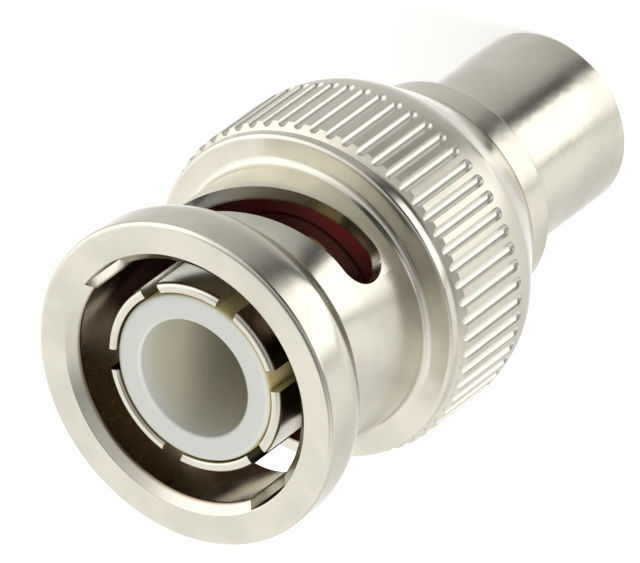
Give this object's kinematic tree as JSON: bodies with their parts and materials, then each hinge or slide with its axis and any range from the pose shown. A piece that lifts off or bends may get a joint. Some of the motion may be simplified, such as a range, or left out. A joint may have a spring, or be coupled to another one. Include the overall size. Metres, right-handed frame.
{
  "type": "bayonet coaxial cable plug",
  "caption": "Bayonet coaxial plug with a turning coupling nut, slotted outer contact, white insulator, red gasket and a fixed crimp sleeve.",
  "frame": {"origin": "centre of the crimp sleeve's end face, where the plug stands", "axes": "+Z along the plug's axis, from the cable end to the mouth; +Y through one entry groove of the bayonet slots"},
  "size_m": [0.0144, 0.0144, 0.0261],
  "materials": {
    "nut_plating": "bright nickel plate on turned brass",
    "body_plating": "nickel plate on turned brass",
    "contact_plating": "bright nickel plate, sawn fingers",
    "sleeve_plating": "nickel plate on drawn brass tube",
    "spring_bronze": "spring bronze strip",
    "insulator_plastic": "white moulded acetal, semi-matt",
    "gasket_rubber": "dark red silicone rubber"
  },
  "bodies": {
    "connector": {"connector_body": "body_plating", "outer_contact": "contact_plating", "insulator": "insulator_plastic", "gasket": "gasket_rubber", "wave_washer": "spring_bronze", "rear_collar": "sleeve_plating", "crimp_sleeve": "sleeve_plating", "crimp_stem": "body_plating"},
    "thrust_washer": {"thrust_washer": "body_plating"},
    "coupling_nut": {"coupling_nut": "nut_plating"}
  },
  "joints": [
    {"name": "nut_slide", "type": "slide", "parent": "connector", "child": "thrust_washer", "axis": [0, 0, 1], "range_m": [0, 0.0005], "stiffness_N_per_m": 1500, "springref_m": -0.0002, "deforming": ["wave_washer"]},
    {"name": "nut_turn", "type": "hinge", "parent": "thrust_washer", "child": "coupling_nut", "pos_m": [0, 0, 0.0146], "axis": [0, 0, 1], "continuous": true}
  ]
}
